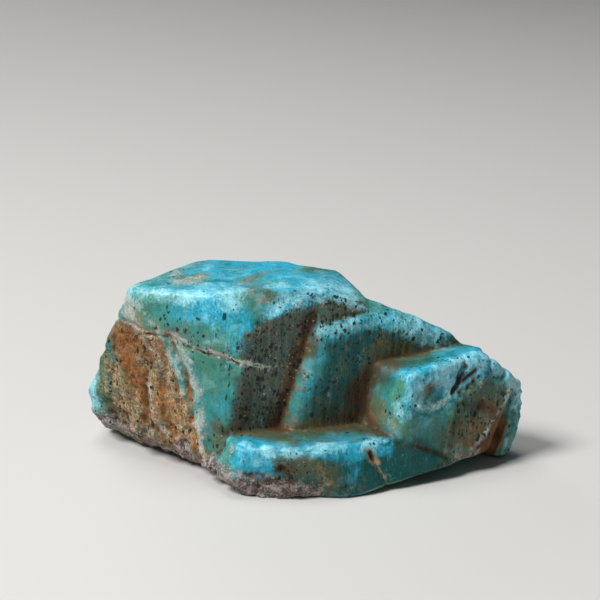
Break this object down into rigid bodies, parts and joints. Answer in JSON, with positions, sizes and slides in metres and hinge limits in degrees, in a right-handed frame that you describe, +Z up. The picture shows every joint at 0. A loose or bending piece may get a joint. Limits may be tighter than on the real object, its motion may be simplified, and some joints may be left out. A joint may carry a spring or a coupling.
{
  "type": "amazonite specimen",
  "caption": "Cluster of blocky blue-green crystals grown together in steps, with a rough broken end and back, resting on its flat underside for display.",
  "frame": {"origin": "centre of the bounding box in X and Y, on the plane of the flat underside", "axes": "+X along the length of the cluster from the tall broken end to the thin plate, -Y towards the stepped crystal faces, +Z up"},
  "size_m": [0.0888, 0.0446, 0.0398],
  "materials": {
    "amazonite": "satin blue-green crystal faces with dark specks, rusty brown stains in the grooves and a matt broken side"
  },
  "bodies": {
    "root": {"amazonite_crystal_cluster": "amazonite"}
  },
  "joints": []
}
